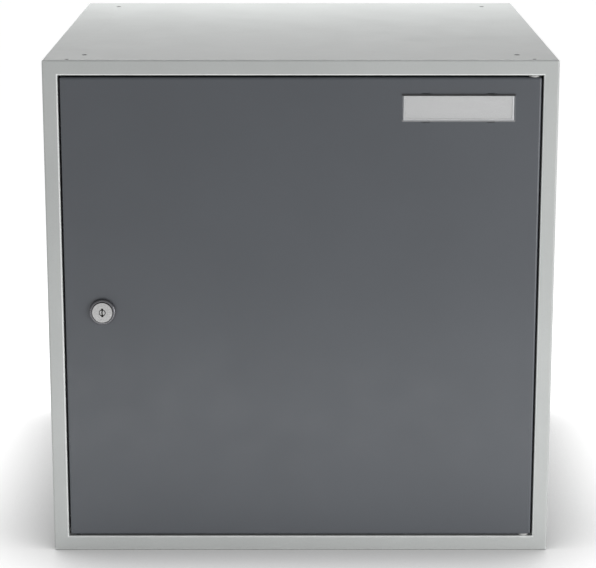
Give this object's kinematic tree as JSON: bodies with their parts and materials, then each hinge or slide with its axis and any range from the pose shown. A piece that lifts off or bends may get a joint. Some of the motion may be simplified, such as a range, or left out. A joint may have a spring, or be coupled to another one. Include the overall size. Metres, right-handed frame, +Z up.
{
  "type": "parcel locker",
  "caption": "Square sheet-steel parcel compartment with a pivot-hung right-hand door, quarter-turn cam lock and clear label holder; stackable, with coupling holes top and bottom.",
  "frame": {"origin": "centre of the underside of the casing, on the face that the locker stands on", "axes": "+X to the right seen from the front, +Y from the door to the back, +Z up"},
  "size_m": [0.5, 0.5053, 0.5],
  "materials": {
    "casing_paint": "light grey powder coat, fine texture, satin",
    "door_paint": "slate grey powder coat, fine texture, satin",
    "zinc_steel": "zinc-plated steel",
    "nickel": "satin nickel-plated die casting",
    "brass": "stamped brass",
    "nylon": "moulded pale grey nylon",
    "rubber": "moulded black rubber",
    "clear_plastic": "clear moulded plastic, lightly frosted",
    "card": "blank pale grey card"
  },
  "bodies": {
    "casing": {"top_panel": "casing_paint", "bottom_panel": "casing_paint", "left_panel": "casing_paint", "right_panel": "casing_paint", "back_panel": "casing_paint", "hinge_support_upper": "casing_paint", "hinge_support_lower": "casing_paint", "hinge_pin_upper": "zinc_steel", "hinge_pin_lower": "zinc_steel", "door_buffer_upper": "rubber", "door_buffer_lower": "rubber"},
    "door": {"door_panel": "door_paint", "door_stiffener": "door_paint", "hinge_bracket_upper": "door_paint", "hinge_bracket_lower": "door_paint", "hinge_bush_upper": "nylon", "hinge_bush_lower": "nylon", "label_holder": "clear_plastic", "label_card": "card", "lock_housing": "nickel", "lock_washer": "zinc_steel", "lock_nut": "zinc_steel"},
    "lock_rotor": {"lock_plug": "nickel", "lock_wafers": "brass", "lock_cam": "zinc_steel", "cam_washer": "zinc_steel", "cam_screw": "zinc_steel"}
  },
  "joints": [
    {"name": "door_hinge", "type": "hinge", "parent": "casing", "child": "door", "pos_m": [0.226, -0.244, 0.25], "axis": [0, 0, 1], "range_deg": [0, 110]},
    {"name": "lock_turn", "type": "hinge", "parent": "door", "child": "lock_rotor", "pos_m": [-0.196, -0.25, 0.25], "axis": [0, 1, 0], "range_deg": [0, 90]}
  ]
}
